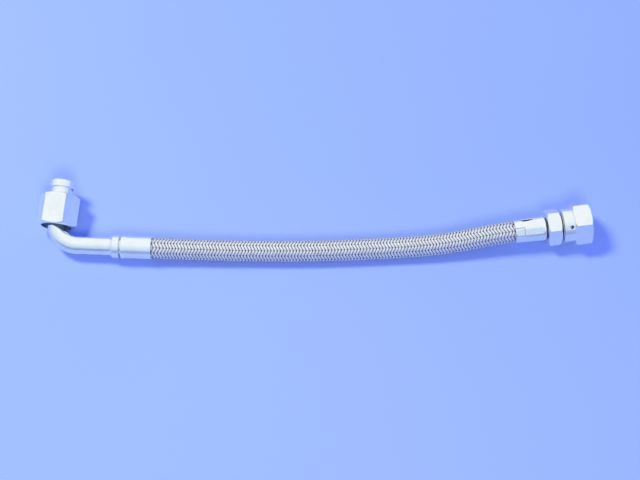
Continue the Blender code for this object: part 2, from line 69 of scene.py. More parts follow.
# Camera, fitted to the photo: the image is 640 pixels wide
CAMERA_TARGET = SHIFT
CAMERA_ELEVATION = math.radians(64.0)
CAMERA_DISTANCE = 752.7 * MM
CAMERA_LENS = 78.75
SENSOR_WIDTH = 36.0

# Hose and braid
HOSE_OD = 11.3 * MM
ROUTE_SPACING = 24 * MM
POINTS_PER_SPAN = 24
STRANDS_EACH_WAY = 12
BRAID_LEAD = 20.2 * MM
STRAND_WIRES = 4
STRAND_WIDTH = 1.22 * MM
STRAND_HALF_THICKNESS = 0.1 * MM
WIRE_RELIEF = 0.12 * MM
STRAND_CROWN = 0.07 * MM
STRAND_FOOT = 0.42
WIRE_PROFILE = (0.0, 0.7, 1.0, 0.7)
WEAVE_HEIGHT = 0.2 * MM
WEAVE_STEEPNESS = 1.55
BRAID_CLEARANCE = 0.01 * MM
SAMPLES_PER_CROSSING = 3
BRAID_INSIDE_FERRULE = 2.4 * MM
CRIMPED_BRAID_RADIUS = 5.1 * MM
CRIMP_RELEASE = 1.6 * MM
CORE_RADIUS = 5.02 * MM
CORE_SIDES = 32
CORE_SPACING = 2 * MM

# Fittings
FERRULE_LENGTH = 16.3 * MM
NECK_RADIUS = 4.0 * MM
BORE_RADIUS = 2.4 * MM
COLLAR_LOW = FERRULE_LENGTH + 0.8 * MM
COLLAR_HIGH = COLLAR_LOW + 3.7 * MM
COLLAR_RADIUS = 6.0 * MM
TUBE_RADIUS = 4.7625 * MM
TUBE_BORE = 3.5625 * MM
TUBE_STRAIGHT = 18.6 * MM
TUBE_GAP = 0.3 * MM
BEND_RADIUS = 12.0 * MM
BEND_ANGLE = math.radians(93.4)
BEND_PITCH = math.radians(12.0)
OUTLET_STRAIGHT = 13.0 * MM
FILLET_RADIUS = 5.6 * MM
FILLET_LENGTH = 2.2 * MM
FILLET_STEPS = 8
BEND_STEPS = 36
TUBE_SIDES = 64
SEAT_ANGLE = math.radians(37.0)
ELBOW_NUT_AF = 19.05 * MM
ELBOW_NUT_LENGTH = 17.0 * MM
ELBOW_NUT_TURN = math.radians(-3.2)
ELBOW_NUT_ONTO_BEND = 3.0 * MM
ELBOW_NUT_CHAMFER_CIRCLE = 18.7 * MM
FIXED_HEX_AF = 17.46 * MM
FIXED_HEX_TURN = math.radians(8.5)
FIXED_HEX_CHAMFER_CIRCLE = 17.3 * MM
HEX_LOW = FERRULE_LENGTH + 0.8 * MM
HEX_HIGH = HEX_LOW + 7.3 * MM
STRAIGHT_NUT_AF = 20.64 * MM
STRAIGHT_NUT_BACK_CIRCLE = 21.4 * MM
STRAIGHT_NUT_FRONT_CIRCLE = 21.2 * MM
NUT_LOW = HEX_HIGH + 1.2 * MM
NUT_HEX_LOW = NUT_LOW + 5.5 * MM
NUT_HIGH = NUT_HEX_LOW + 9.3 * MM
WIRE_PLACE = HEX_HIGH + 5.0 * MM
WIRE_HALF_GROOVE = 1.05 * MM
WIRE_HOLE_TILT = math.radians(33.0)
WIRE_HOLE_RADIUS = 1.0 * MM
WIRE_HOLE_REACH = (7.3 * MM, 11.0 * MM)
WIRE_HOLE_SIDES = 32
HEAD_LOW = HEX_HIGH + 7.2 * MM
HEAD_HIGH = HEAD_LOW + 3.2 * MM
HEX_CHAMFER = math.tan(math.radians(30.0))
HEX_EDGE = 0.16 * MM
HEX_CORNER = 0.22 * MM
EDGE = 0.13 * MM
CORNER_STEPS = 3
CORNER_POINTS = CORNER_STEPS + 1
ROUND_SIDES = 96
MERGE_DISTANCE = 0.002 * MM
NORMAL_WEIGHT = 60

# Threads: minor radius, depth and pitch, then the shares of half a turn
ELBOW_THREAD = (6.6 * MM, 0.74 * MM, 1.41 * MM)
STRAIGHT_THREAD = (8.05 * MM, 0.8 * MM, 1.5 * MM)
THREAD_CREST = 0.2
THREAD_FLANK = 0.62
RINGS_PER_PITCH = 9
LEAD_STEP = 0.05 * MM

# Crimped ferrule
CRIMP_FLATS = 8
CRIMP_TURN = math.radians(34.5)
CRIMP_FLAT = 5.88 * MM
CRIMP_TAPER = 0.55 * MM
CRIMP_CORNER = 0.14 * MM
CRIMP_CORNER_LIMIT = 0.06 * MM
IMPRINT_ANGLE = math.radians(32.0)
IMPRINT_HALF_WIDTH = math.radians(21.0)
IMPRINT_LENGTH = 4.9 * MM
IMPRINT_LINE = 0.32 * MM
IMPRINT_GROOVE = 0.22 * MM
IMPRINT_SINK = 0.04 * MM
SLOT_ANGLE = math.radians(-39.5)
SLOT_PLACE = 7.4 * MM
SLOT_HALF_LENGTH = 3.6 * MM
SLOT_DEPTH = 0.55 * MM
SLOT_HALF_WIDTH = math.radians(12.5)
SLOT_NARROWING = math.radians(5.5)
CRIMPED_SIDES = 288

# Stage
FLOOR_HALF_SIZE = 3.0
FLOOR_DROP = 0.02 * MM
LAMP_DISTANCE = 1.6
TENT_LEAN = 0.8
TENT_LOW, TENT_HIGH = -0.8, 1.3
AMBIENT = (0.18, 0.25, 0.88, 1.0)

# Surfaces
PLATING_METALLIC = 0.85
PLATING_GRAIN = 0.012 * MM
PLATING_WAVES = 0.04 * MM
TUBE_METALLIC = 0.93
TUBE_GRAIN = 0.005 * MM
TUBE_WAVES = 0.16 * MM
BRAID_METALLIC = 0.65
CLOUD_DIMMING = 0.92


# Camera, which is made first


def add_camera():
    data = bpy.data.cameras.new("camera")
    data.lens = CAMERA_LENS
    data.sensor_width = SENSOR_WIDTH
    camera = bpy.data.objects.new("camera", data)
    bpy.context.scene.collection.objects.link(camera)
    back = Vector((0, -math.cos(CAMERA_ELEVATION), math.sin(CAMERA_ELEVATION)))
    camera.location = CAMERA_TARGET + back * CAMERA_DISTANCE
    camera.rotation_euler = (math.pi / 2 - CAMERA_ELEVATION, 0, 0)
    data.clip_start = 0.01
    data.clip_end = 50
    bpy.context.scene.camera = camera


# Materials


def node(tree, kind, **inputs):
    """A new node, its inputs set by name: a number or colour, or the socket that feeds it."""
    made = tree.nodes.new(kind)
    for name, value in inputs.items():
        key = int(name[1:]) if name[0] == "_" else name.replace("_", " ")
        if isinstance(value, bpy.types.NodeSocket):
            tree.links.new(value, made.inputs[key])
        else:
            made.inputs[key].default_value = value
    return made


def blank_material(name):
    made = bpy.data.materials.new(name)
    made.use_nodes = True
    tree = made.node_tree
    shader = next(n for n in tree.nodes if n.type == "BSDF_PRINCIPLED")
    return made, tree, shader


def ramp(tree, factor, stops):
    made = node(tree, "ShaderNodeValToRGB", Fac=factor)
    band = made.color_ramp
    for place, colour in stops[1:-1]:
        band.elements.new(place)
    for element, (place, colour) in zip(band.elements, stops):
        element.position = place
        element.color = (*colour, 1.0)
    return made.outputs["Color"]


def multiply(tree, first, second):
    made = node(tree, "ShaderNodeMix", _0=1.0, _6=first, _7=second)
    made.data_type = "RGBA"
    made.blend_type = "MULTIPLY"
    return made.outputs[2]


def noise(tree, vector, scale, detail=3.0, roughness=0.5):
    made = node(tree, "ShaderNodeTexNoise", Vector=vector, Scale=scale, Detail=detail,
                Roughness=roughness)
    return made.outputs["Fac"]


def soft_range(tree, value, low, high):
    """Spreads the middle of a noise between two values."""
    made = node(tree, "ShaderNodeMapRange", Value=value, From_Min=0.3, From_Max=0.7, To_Min=low,
                To_Max=high)
    return made.outputs["Result"]


def bumped(tree, height, strength, distance, **inputs):
    made = node(tree, "ShaderNodeBump", Height=height, Strength=strength, Distance=distance, **inputs)
    return made.outputs["Normal"]


def stretched(tree, scale):
    """Object coordinates, stretched: a low number along Z draws streaks along the axis."""
    place = node(tree, "ShaderNodeTexCoord")
    made = node(tree, "ShaderNodeMapping", Vector=place.outputs["Object"], Scale=scale)
    return made.outputs["Vector"]


def metal(name, tint, rough_low, rough_high, rings=0.0, streaks=0.0, grain=PLATING_GRAIN,
          waves=PLATING_WAVES, metallic=PLATING_METALLIC):
    """Bright plated steel.

    Rings are turning marks across the axis, streaks are drawing marks along it, grain is the depth
    of both, and waves are the slight unevenness of the whole surface.
    """
    made, tree, shader = blank_material(name)
    plain = stretched(tree, (1, 1, 1))
    cloud = noise(tree, plain, 160.0, 4.0, 0.6)
    dim = [channel * CLOUD_DIMMING for channel in tint]
    shader.inputs["Metallic"].default_value = metallic
    tree.links.new(ramp(tree, cloud, [(0.3, dim), (0.7, tint)]), shader.inputs["Base Color"])
    speck = noise(tree, plain, 900.0, 5.0, 0.65)
    tree.links.new(soft_range(tree, speck, rough_low, rough_high), shader.inputs["Roughness"])
    height = speck
    for share, stretch, scale in ((rings, (0.02, 0.02, 1), 5200.0), (streaks, (1, 1, 0.02), 3600.0)):
        if share:
            fine = noise(tree, stretched(tree, stretch), scale, 2.0, 0.5)
            height = node(tree, "ShaderNodeMix", _0=share, _2=height, _3=fine).outputs[0]
    marks = bumped(tree, height, 0.35, grain)
    wavy = bumped(tree, noise(tree, plain, 240.0, 1.0, 0.5), 1.0, waves, Normal=marks)
    tree.links.new(wavy, shader.inputs["Normal"])
    return made


def braid_material():
    """Bright wire, with painted shade: darker deep between the strands and where it is seen at a flat
    angle.
    """
    made, tree, shader = blank_material("braid_wire")
    plain = stretched(tree, (1, 1, 1))
    tone = noise(tree, plain, 420.0, 3.0, 0.6)
    shader.inputs["Metallic"].default_value = BRAID_METALLIC
    clean = ramp(tree, tone, [
        (0.3, (0.8, 0.79, 0.79)),
        (0.5, (0.9, 0.89, 0.9)),
        (0.72, (0.97, 0.96, 0.97)),
    ])
    # Painted shade: the colour darkens where the crest value is low, deep in the braid where the
    # strands pass under each other.
    crest = node(tree, "ShaderNodeAttribute")
    crest.attribute_name = "crest"
    depth = ramp(tree, crest.outputs["Fac"], [
        (0.42, (0.13, 0.13, 0.16)),
        (0.6, (0.62, 0.62, 0.66)),
        (0.74, (1, 1, 1)),
    ])
    # Painted shade: the colour darkens where the wire is seen at a flat angle, towards the hose's
    # sides.
    facing = node(tree, "ShaderNodeLayerWeight", Blend=0.5).outputs["Facing"]
    edge = ramp(tree, facing, [
        (0.35, (1, 1, 1)),
        (0.65, (0.72, 0.72, 0.76)),
        (0.92, (0.32, 0.32, 0.38)),
    ])
    colour = multiply(tree, multiply(tree, clean, depth), edge)
    tree.links.new(colour, shader.inputs["Base Color"])
    tree.links.new(soft_range(tree, tone, 0.34, 0.22), shader.inputs["Roughness"])
    fine = noise(tree, plain, 3000.0, 2.0, 0.5)
    tree.links.new(bumped(tree, fine, 0.25, 0.02 * MM), shader.inputs["Normal"])
    return made


# A noise-toned dark colour, used for painted shade in gaps, grooves and hollows.
def painted_shade_material(name, low, high, roughness, metallic):
    made, tree, shader = blank_material(name)
    tone = noise(tree, stretched(tree, (1, 1, 1)), 700.0, 3.0, 0.6)
    tree.links.new(ramp(tree, tone, [(0.3, low), (0.7, high)]), shader.inputs["Base Color"])
    shader.inputs["Roughness"].default_value = roughness
    shader.inputs["Metallic"].default_value = metallic
    tree.links.new(bumped(tree, tone, 0.3, 0.05 * MM), shader.inputs["Normal"])
    return made


# Meshes


def axis_frame(origin, axis, up):
    """Z runs along the axis, and X is as near to up as it can be."""
    z = axis.normalized()
    x = (up - z * up.dot(z)).normalized()
    return Matrix.Translation(origin) @ Matrix((x, z.cross(x), z)).transposed().to_4x4()


def add_piece(name, verts, faces, place, body, material, replaced=(), weighted=True):
    data = bpy.data.meshes.new(name)
    data.from_pydata([tuple(v) for v in verts], [], [tuple(f) for f in faces])
    data.validate()
    data.shade_smooth()
    data.materials.append(material)
    made = bpy.data.objects.new(name, data)
    bpy.context.scene.collection.objects.link(made)
    made.matrix_world = place
    if weighted:
        made.modifiers.new("normals", "WEIGHTED_NORMAL").weight = NORMAL_WEIGHT
    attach(made, body)
    if replaced:
        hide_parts(*replaced)
    return made


def ring_faces(count, sides, closed=True):
    """Quads between neighbouring rings of the same number of points."""
    faces = []
    for ring in range(count if closed else count - 1):
        low, high = ring * sides, (ring + 1) % count * sides
        for side in range(sides):
            after = (side + 1) % sides
            faces.append((low + side, low + after, high + after, high + side))
    return faces


def capped_faces(count, sides, base=0):
    """Quads between neighbouring rings, with a cap on the first ring and one on the last."""
    faces = [tuple(base + i for i in face) for face in ring_faces(count, sides, closed=False)]
    faces.append(tuple(base + i for i in range(sides))[::-1])
    faces.append(tuple(base + (count - 1) * sides + i for i in range(sides)))
    return faces


def add_ring_body(name, cad_node, rings, place, body, material):
    """A closed body from rings of points. They run up the outside and back down the bore."""
    verts = [point for ring in rings for point in ring]
    faces = ring_faces(len(rings), len(rings[0]))
    made = add_piece(name, verts, faces, place, body, material, (cad_node,))
    merge(made)
    return made


def paint(made, material, chosen):
    """Gives a second material to the faces that are chosen by radius, angle and height."""
    made.data.materials.append(material)
    index = len(made.data.materials) - 1
    for face in made.data.polygons:
        x, y, z = face.center
        if chosen(math.hypot(x, y), math.atan2(y, x), z):
            face.material_index = index


def merge(made):
    """Joins points that lie on each other and drops the faces that closes up."""
    bm = bmesh.new()
    bm.from_mesh(made.data)
    bmesh.ops.remove_doubles(bm, verts=bm.verts, dist=MERGE_DISTANCE)
    bmesh.ops.recalc_face_normals(bm, faces=bm.faces)
    bm.to_mesh(made.data)
    bm.free()


def rounded(profile):
    """A closed outline of (radius, height) or (radius, height, rounding), with its corners rounded."""
    points = []
    count = len(profile)
    for i, corner in enumerate(profile):
        rounding = corner[2] if len(corner) > 2 else EDGE
        here = Vector(corner[:2])
        before = Vector(profile[i - 1][:2]) - here
        after = Vector(profile[(i + 1) % count][:2]) - here
        reach = min(rounding, 0.45 * before.length, 0.45 * after.length)
        if reach < 0.01 * MM:
            points.append(tuple(here))
            continue
        start, end = here + before.normalized() * reach, here + after.normalized() * reach
        for step in range(CORNER_STEPS + 1):
            share = step / CORNER_STEPS
            rest = 1 - share
            points.append(tuple(start * rest ** 2 + here * 2 * share * rest + end * share ** 2))
    return points


def even_angles(sides=ROUND_SIDES):
    return [2 * math.pi * side / sides for side in range(sides)]


def circle(radius, height, angles):
    return [(radius * math.cos(a), radius * math.sin(a), height) for a in angles]


def circles(profile, angles):
    return [circle(radius, height, angles) for radius, height in profile]


def add_lathe(name, cad_node, profile, place, material):
    rings = circles(rounded(profile), even_angles())
    add_ring_body(name, cad_node, rings, place, "hose_line", material)


def hexagon(across_flats, turn, along=10):
    """Angles and radii round a hexagon with rounded corners. A flat's middle lies at the turn."""
    half = across_flats / 2
    side = half * math.tan(math.pi / 6)
    cut = HEX_CORNER * math.tan(math.pi / 6)
    reach = (half - HEX_CORNER) / math.cos(math.pi / 6)
    points = []
    for flat in range(6):
        normal = turn + flat * math.pi / 3
        out = Vector((math.cos(normal), math.sin(normal)))
        across = Vector((-out.y, out.x))
        for step in range(along + 1):
            points.append(out * half + across * ((side - cut) * (2 * step / along - 1)))
        centre_turn = normal + math.pi / 6
        centre = Vector((math.cos(centre_turn), math.sin(centre_turn))) * reach
        for step in range(1, CORNER_STEPS + 1):
            angle = normal + math.pi / 3 * step / (CORNER_STEPS + 1)
            points.append(centre + Vector((math.cos(angle), math.sin(angle))) * HEX_CORNER)
    return [math.atan2(p.y, p.x) for p in points], [p.length for p in points]


def chamfered_end(angles, radii, chamfer_circle, end, into):
    """Rings from a hexagon's end face, over its chamfer, to its flats. Into is +1 or -1, along Z."""
    edge = HEX_EDGE
    rings = [[], [], [], []]
    for angle, radius in zip(angles, radii):
        face = min(chamfer_circle / 2, radius)
        depth = (radius - face) * HEX_CHAMFER
        slope = math.hypot(radius - face, depth)
        if slope > edge:
            share = edge / slope
            near = (radius + (face - radius) * share, depth * (1 - share))
        else:
            near = (face - (edge - slope), 0.0)
        far = (radius, depth + edge)
        middle = (
            0.25 * (near[0] + far[0]) + 0.5 * radius,
            0.25 * (near[1] + far[1]) + 0.5 * depth,
        )
        flat_face = (min(face, near[0]) if slope > edge else near[0] - 0.05 * MM, 0.0)
        for ring, (r, z) in zip(rings, (flat_face, near, middle, far)):
            ring.append((r * math.cos(angle), r * math.sin(angle), end + into * z))
    return rings


def thread_rings(angles, thread, mouth, end, lead_radius):
    """Rings down an internal right-hand thread, from its mouth inwards.

    The thread is (minor radius, depth, pitch). The lead is a 45 degree cone at the mouth.
    """
    minor, depth, pitch = thread
    start = mouth - LEAD_STEP
    rings = []
    count = int(abs(end - start) / pitch * RINGS_PER_PITCH)
    for step in range(count + 1):
        z = start + (end - start) * step / count
        fade = min(1.0, abs(z - end) / (0.8 * pitch))
        ring = []
        for angle in angles:
            phase = (z / pitch - angle / (2 * math.pi)) % 1.0
            cut = min(1.0, max(0.0, (1 - abs(2 * phase - 1) - THREAD_CREST) / THREAD_FLANK))
            radius = max(minor + depth * cut * fade, lead_radius - abs(mouth - z))
            ring.append((radius * math.cos(angle), radius * math.sin(angle), z))
        rings.append(ring)
    return rings


# The hose


def smooth_point(before, start, end, after, share):
    square, cube = share * share, share * share * share
    return 0.5 * (
        2 * start
        + (end - before) * share
        + (2 * before - 5 * start + 4 * end - after) * square
        + (3 * start - before - 3 * end + after) * cube
    )


def hose_line(elbow_out, straight_out):
    """Points along the hose's centre line, from a little inside one ferrule to the other."""
    ends = [ELBOW_MOUTH + elbow_out * ROUTE_SPACING, ELBOW_MOUTH]
    through = ends + ROUTE + [STRAIGHT_MOUTH, STRAIGHT_MOUTH + straight_out * ROUTE_SPACING]
    fine = []
    for before, start, end, after in zip(through, through[1:], through[2:], through[3:]):
        for step in range(POINTS_PER_SPAN):
            fine.append(smooth_point(before, start, end, after, step / POINTS_PER_SPAN))
    fine.append(STRAIGHT_MOUTH)
    inside = BRAID_INSIDE_FERRULE
    return [ELBOW_MOUTH + elbow_out * inside] + fine + [STRAIGHT_MOUTH + straight_out * inside]


class HoseLine:
    """Places and cross directions along the hose, by distance, carried along without twist."""

    def __init__(self, points):
        self.points = np.array([tuple(p) for p in points])
        steps = np.diff(self.points, axis=0)
        self.lengths = np.concatenate([[0.0], np.cumsum(np.linalg.norm(steps, axis=1))])
        tangents = np.gradient(self.points, self.lengths, axis=0)
        self.tangents = tangents / np.linalg.norm(tangents, axis=1)[:, None]
        across = np.cross(self.tangents, np.array([0.0, 0.0, 1.0]))
        self.across = across / np.linalg.norm(across, axis=1)[:, None]
        self.rise = np.cross(self.across, self.tangents)
        self.total = self.lengths[-1]

    def _at(self, rows, distance):
        return np.stack([np.interp(distance, self.lengths, rows[:, i]) for i in range(3)], axis=-1)

    def point(self, distance, angle, radius):
        """The point that far along, that far from the centre line, turned from straight up."""
        centre = self._at(self.points, distance)
        out = self._at(self.rise, distance) * np.cos(angle)[..., None]
        out = out + self._at(self.across, distance) * np.sin(angle)[..., None]
        return centre + out * radius[..., None]


def squeeze(distance, total):
    """How far the braid is drawn in where the two ferrules grip it."""
    from_end = np.minimum(distance, total - distance) - BRAID_INSIDE_FERRULE
    share = np.clip(1 - from_end / CRIMP_RELEASE, 0, 1)
    return (HOSE_OD / 2 - CRIMPED_BRAID_RADIUS) * share * share * (3 - 2 * share)


def weave(phase):
    """Over two, under two: +1 on top of the crossing strands and -1 under them."""
    return np.clip(WEAVE_STEEPNESS * np.sin(2 * np.pi * (phase + 0.5) / 4), -1, 1)


def strand_section():
    """Offsets across a strand and out of it: wires side by side on top, flat beneath."""
    top = []
    steps = len(WIRE_PROFILE) * STRAND_WIRES
    for step in range(steps + 1):
        share = 2 * step / steps - 1
        crest = WIRE_RELIEF * (1 - WIRE_PROFILE[step % len(WIRE_PROFILE)])
        rise = STRAND_HALF_THICKNESS - crest - STRAND_CROWN * share * share
        top.append((share * STRAND_WIDTH / 2, rise))
    foot = [(side * STRAND_WIDTH, -STRAND_HALF_THICKNESS) for side in (STRAND_FOOT, -STRAND_FOOT)]
    return top + foot


def strand_mesh(line, direction, half):
    """Every second strand that winds one way, each a closed flat bundle of wires.

    The third list says how far out each point lies: 1 on top of the braid and 0 at its bottom.
    """
    turns = line.total / BRAID_LEAD
    crossings = 2 * STRANDS_EACH_WAY * turns
    stations = int(crossings * SAMPLES_PER_CROSSING) + 1
    along = np.linspace(0.0, line.total, stations)
    section = strand_section()
    sides = len(section)
    outer = HOSE_OD / 2 - STRAND_HALF_THICKNESS - WEAVE_HEIGHT - BRAID_CLEARANCE
    lean = math.atan2(2 * math.pi * outer, BRAID_LEAD)
    strand_turn = 2 * math.pi / STRANDS_EACH_WAY
    offsets = np.array(section)
    verts, faces, crests = [], [], []
    span = 2 * (WEAVE_HEIGHT + STRAND_HALF_THICKNESS)
    for count, strand in enumerate(range(half, STRANDS_EACH_WAY, 2)):
        # A point to the side of the strand's middle lies further along and less far round
        distance = along[:, None] - direction * offsets[None, :, 0] * math.sin(lean)
        start = strand_turn * (strand + (0.5 if direction < 0 else 0.0))
        middle_angle = start + direction * 2 * math.pi * along / BRAID_LEAD
        angle = middle_angle[:, None] + offsets[None, :, 0] * math.cos(lean) / outer
        # The number of the crossing strand at each place
        other = (middle_angle + direction * 2 * math.pi * along / BRAID_LEAD) / strand_turn
        phase = other + strand + (0 if direction > 0 else 0.5)
        height = direction * weave(phase) * WEAVE_HEIGHT
        lift = height[:, None] + offsets[None, :, 1]
        crests.append((0.5 + lift / span).ravel())
        radius = outer + lift - squeeze(distance, line.total)
        distance = np.clip(distance, 0, line.total)
        verts.append(line.point(distance, angle, radius).reshape(-1, 3))
        faces += capped_faces(stations, sides, base=count * stations * sides)
    return np.concatenate(verts), faces, np.concatenate(crests)


def add_hose(elbow_out, straight_out, wire, core):
    line = HoseLine(hose_line(elbow_out, straight_out))
    place = Matrix.Identity(4)
    stations = int(line.total / CORE_SPACING)
    along = np.linspace(0.0, line.total, stations)
    angles = np.array(even_angles(CORE_SIDES))
    radius = CORE_RADIUS - squeeze(along, line.total)
    grid = line.point(
        np.repeat(along[:, None], CORE_SIDES, axis=1),
        np.repeat(angles[None, :], stations, axis=0),
        np.repeat(radius[:, None], CORE_SIDES, axis=1),
    )
    verts = grid.reshape(-1, 3)
    faces = capped_faces(stations, CORE_SIDES)
    # Painted shade: the core is a dark tube in place of the liner, so the gaps between the strands
    # show dark.
    under = add_piece("hose_core", verts, faces, place, "hose_line", core,
                      replaced=("wire_braid", "hose_liner"), weighted=False)
    merge(under)
    for name, direction, half in (
        ("braid_right_a", 1, 0),
        ("braid_right_b", 1, 1),
        ("braid_left_a", -1, 0),
        ("braid_left_b", -1, 1),
    ):
        verts, faces, crests = strand_mesh(line, direction, half)
        piece = add_piece(name, verts, faces, place, "hose_line", wire,
                          weighted=False)
        # The crest value, by which the wire's material paints shade deep in the braid.
        crest = piece.data.attributes.new("crest", "FLOAT", "POINT")
        crest.data.foreach_set("value", crests.astype(np.float32))


# The elbow's end


def add_elbow_ferrule(place, material):
    outer, lip, bore, hole = 6.0 * MM, 6.25 * MM, 5.4 * MM, 4.3 * MM
    length = FERRULE_LENGTH
    profile = [
        (bore + 0.1 * MM, 0),
        (outer, 0, 0.45 * MM),
        (outer, length - 3.3 * MM, 0.5 * MM),
        (lip, length - 2.6 * MM, 0.6 * MM),
        (lip, length, 0.9 * MM),
        (hole, length),
        (hole, length - 1.6 * MM),
        (bore, length - 1.6 * MM),
        (bore, 0.8 * MM),
    ]
    add_lathe("elbow_ferrule_sleeve", "elbow_ferrule", profile, place, material)


def add_elbow_collar(place, material):
    nipple, spigot = 3.15 * MM, 3.26 * MM
    profile = [
        (BORE_RADIUS, 1.5 * MM),
        (nipple, 1.5 * MM),
        (nipple, 14.7 * MM),
        (NECK_RADIUS, 14.7 * MM),
        (NECK_RADIUS, COLLAR_LOW, 0.2 * MM),
        (COLLAR_RADIUS, COLLAR_LOW, 0.45 * MM),
        (COLLAR_RADIUS, COLLAR_HIGH, 0.45 * MM),
        (spigot, COLLAR_HIGH),
        (spigot, COLLAR_HIGH + 5.0 * MM),
        (BORE_RADIUS, COLLAR_HIGH + 5.0 * MM),
    ]
    add_lathe("elbow_collar", "elbow_stem", profile, place, material)


def add_bent_tube(place, material):
    """The tube with its braze fillet against the collar, bent towards the frame's Y."""
    start = COLLAR_HIGH
    straight_end = start + TUBE_GAP + TUBE_STRAIGHT
    stations = []
    for step in range(FILLET_STEPS + 1):
        share = step / FILLET_STEPS
        radius = TUBE_RADIUS + (FILLET_RADIUS - TUBE_RADIUS) * (1 - share) ** 2
        stations.append((Vector((0, 0, start + share * FILLET_LENGTH)), 0.0, radius))
    stations.append((Vector((0, 0, start + 0.6 * TUBE_STRAIGHT)), 0.0, TUBE_RADIUS))
    for step in range(BEND_STEPS + 1):
        angle = BEND_ANGLE * step / BEND_STEPS
        aside, ahead = BEND_RADIUS * (1 - math.cos(angle)), BEND_RADIUS * math.sin(angle)
        stations.append((Vector((0, aside, straight_end + ahead)), angle, TUBE_RADIUS))
    outlet = Vector((0, math.sin(BEND_ANGLE), math.cos(BEND_ANGLE)))
    bend_end = stations[-1][0]
    stations.append((bend_end + outlet * OUTLET_STRAIGHT, BEND_ANGLE, TUBE_RADIUS))
    outer, inner = [], []
    for centre, angle, radius in stations:
        across = Vector((0, math.cos(angle), -math.sin(angle)))
        for rings, size in ((outer, radius), (inner, TUBE_BORE)):
            rings.append([
                tuple(centre + (Vector((1, 0, 0)) * math.cos(t) + across * math.sin(t)) * size)
                for t in even_angles(TUBE_SIDES)
            ])
    add_ring_body("bent_tube", "elbow_tube", outer + inner[::-1], place, "hose_line", material)
    return bend_end, outlet


def add_seat_nose(place, material):
    """A sleeve brazed over the tube's end. The nut pulls on its head, and its mouth is the seat."""
    back, socket = 8.8 * MM, TUBE_RADIUS
    shoulder = back + 9.4 * MM
    front = shoulder + 3.8 * MM
    neck, head = 5.6 * MM, 6.25 * MM
    seat = head - 0.9 * MM
    seat_depth = (seat - TUBE_BORE) / math.tan(SEAT_ANGLE)
    profile = [
        (socket, back),
        (neck, back, 0.3 * MM),
        (neck, shoulder - 0.7 * MM, 0.05 * MM),
        (neck - 0.45 * MM, shoulder - 0.6 * MM, 0.05 * MM),
        (neck - 0.45 * MM, shoulder, 0.05 * MM),
        (head, shoulder, 0.3 * MM),
        (head, front, 0.55 * MM),
        (seat, front, 0.15 * MM),
        (TUBE_BORE, front - seat_depth, 0.3 * MM),
        (TUBE_BORE, OUTLET_STRAIGHT),
        (socket, OUTLET_STRAIGHT),
    ]
    add_lathe("elbow_seat_nose", "seat_nose", profile, place, material)


def add_elbow_nut(place, material, shade):
    angles, radii = hexagon(ELBOW_NUT_AF, ELBOW_NUT_TURN)
    length, wall, hole = ELBOW_NUT_LENGTH, 3.2 * MM, 5.9 * MM
    recess, depth = 7.9 * MM, 1.6 * MM
    minor, relief, lead = ELBOW_THREAD[0], 0.5 * MM, 7.4 * MM
    rings = circles([
        (hole, depth),
        (recess, depth),
        (recess, 0.15 * MM),
        (recess + 0.12 * MM, 0),
    ], angles)
    rings += chamfered_end(angles, radii, ELBOW_NUT_CHAMFER_CIRCLE, 0, 1)
    rings += chamfered_end(angles, radii, ELBOW_NUT_CHAMFER_CIRCLE, length, -1)[::-1]
    rings += circles([(lead, length)], angles)
    rings += thread_rings(angles, ELBOW_THREAD, length, wall + 2.0 * MM, lead)
    rings += circles([
        (minor, wall + 1.9 * MM),
        (minor + relief, wall + 1.5 * MM),
        (minor + relief, wall),
        (hole, wall),
    ], angles)
    made = add_ring_body("elbow_nut_hex", "elbow_swivel_nut", rings, place, "elbow_nut", material)
    # Painted shade inside the nut's back recess and its hole.
    paint(made, shade, lambda r, angle, z: 0.05 * MM < z < wall and r < recess + 0.05 * MM)


def add_elbow_end(out, steel, shades):
    side = UP.cross(out) * -1
    lift = side * math.cos(BEND_PITCH) + UP * math.sin(BEND_PITCH)
    place = axis_frame(ELBOW_MOUTH, out, lift.cross(out))
    add_elbow_ferrule(place, steel["turned"])
    add_elbow_collar(place, steel["turned"])
    bend_end, outlet = add_bent_tube(place, steel["tube"])
    outlet_place = place @ axis_frame(bend_end, outlet, Vector((1, 0, 0)))
    add_seat_nose(outlet_place, steel["turned"])
    nut_place = outlet_place @ Matrix.Translation((0, 0, -ELBOW_NUT_ONTO_BEND))
    add_elbow_nut(nut_place, steel["hex"], shades["recess"])


# The straight end


def ease(low, high, value):
    share = min(1.0, max(0.0, (value - low) / (high - low)))
    return share * share * (3 - 2 * share)


def wrapped(angle):
    return (angle + math.pi) % (2 * math.pi) - math.pi


def imprint_line(angle, z):
    """1 on the outline of the tool's mark beside the mouth, and 0 away from it."""
    aside = (abs(wrapped(angle - IMPRINT_ANGLE)) - IMPRINT_HALF_WIDTH) * 6 * MM
    beyond = z - IMPRINT_LENGTH
    if max(aside, beyond) > IMPRINT_LINE:
        return 0.0
    nearest = min(abs(aside), abs(beyond)) if max(aside, beyond) <= 0 else max(aside, beyond)
    return max(0.0, 1 - nearest / IMPRINT_LINE)


def crimped_radius(angle, z):
    """The ferrule's outer radius: a taper, pressed to flats between its two plain ends."""
    flat = CRIMP_FLAT + CRIMP_TAPER * z / FERRULE_LENGTH
    outer = flat + CRIMP_CORNER
    release = ease(FERRULE_LENGTH - 2.2 * MM, FERRULE_LENGTH - 1.2 * MM, z)
    pressed = ease(0.5 * MM, 1.5 * MM, z) * (1 - release)
    turn = 2 * math.pi / CRIMP_FLATS
    off = (angle - CRIMP_TURN + turn / 2) % turn - turn / 2
    pressed_radius = min(flat / math.cos(off), outer + CRIMP_CORNER_LIMIT)
    radius = outer + (pressed_radius - outer) * pressed
    aside = (abs(wrapped(angle - IMPRINT_ANGLE)) - IMPRINT_HALF_WIDTH) * radius
    if aside < IMPRINT_LINE and z < IMPRINT_LENGTH + IMPRINT_LINE:
        radius -= IMPRINT_GROOVE * imprint_line(angle, z)
        if aside < 0 and z < IMPRINT_LENGTH:
            radius -= IMPRINT_SINK
    return radius


